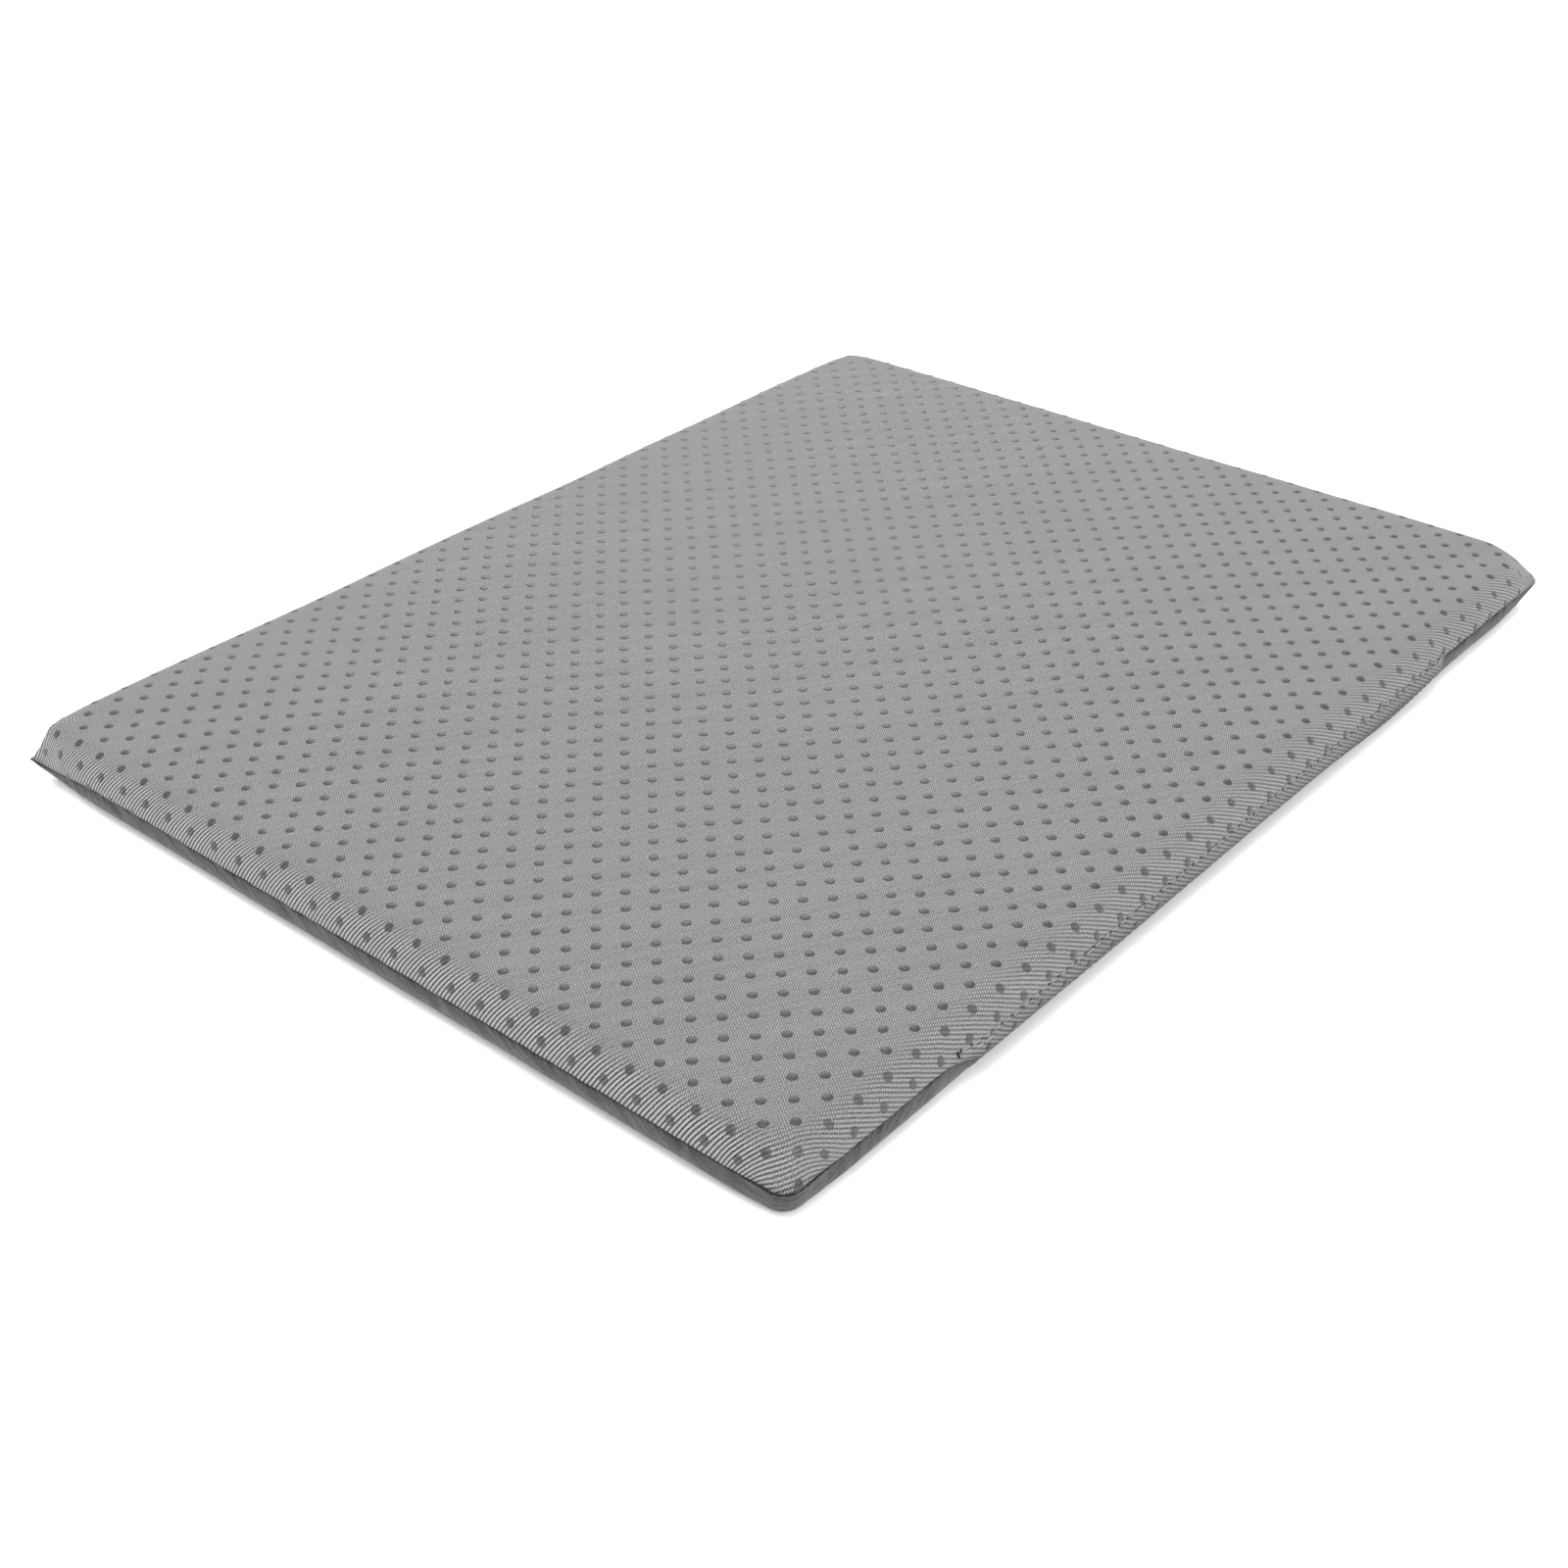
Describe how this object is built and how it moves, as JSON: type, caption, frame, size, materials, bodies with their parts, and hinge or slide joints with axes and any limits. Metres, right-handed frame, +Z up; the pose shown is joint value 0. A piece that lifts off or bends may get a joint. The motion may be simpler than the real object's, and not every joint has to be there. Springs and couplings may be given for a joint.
{
  "type": "kneeling pad",
  "caption": "Flat rectangular foam kneeling pad in a sewn fabric cover with an anti-slip dotted top, a plain base and a concealed zip along one long side.",
  "frame": {"origin": "middle of the flat underside, where the pad rests on the ground", "axes": "+Z up out of the dotted kneeling face; +X along the long sides, towards the zip's closed end; the zip is on the -Y side"},
  "size_m": [0.4, 0.312, 0.0205],
  "materials": {
    "dotted_twill": "light grey ribbed twill with raised, slightly glossy darker grey anti-slip dots",
    "plain_weave": "dark grey plain weave, matt",
    "foam": "open-cell foam, matt",
    "seam_thread": "near-black sewing thread",
    "stitch_thread": "pale grey sewing thread with a slight sheen",
    "zip_tape": "dark herringbone tape",
    "zip_coil": "dark nylon coil, slightly glossy",
    "zip_metal": "dark gunmetal plating"
  },
  "bodies": {
    "pad": {"foam_core": "foam", "top_cover": "dotted_twill", "bottom_cover": "plain_weave", "seam_thread": "seam_thread", "flap_topstitch": "stitch_thread", "bar_tack_left": "stitch_thread", "bar_tack_right": "stitch_thread", "lower_tape_stitch": "stitch_thread", "zip_tape_upper": "zip_tape", "zip_tape_lower": "zip_tape", "zip_coil_upper": "zip_coil", "zip_coil_lower": "zip_coil", "zip_stop_upper": "zip_metal", "zip_stop_lower": "zip_metal", "zip_stop_end": "zip_metal"},
    "flap": {"zip_flap": "dotted_twill"},
    "slider": {"slider_body": "zip_metal"},
    "pull": {"pull_tab": "zip_metal"}
  },
  "joints": [
    {"name": "flap_lift", "type": "hinge", "parent": "pad", "child": "flap", "pos_m": [-0.005, -0.1551, 0.013], "axis": [-1, 0, 0], "range_deg": [0, 75]},
    {"name": "slider_travel", "type": "slide", "parent": "pad", "child": "slider", "axis": [-1, 0, 0], "range_m": [0, 0.229]},
    {"name": "pull_swing", "type": "hinge", "parent": "slider", "child": "pull", "pos_m": [0.1122, -0.1525, 0.009], "axis": [0, 0, 1], "range_deg": [0, 7]}
  ]
}
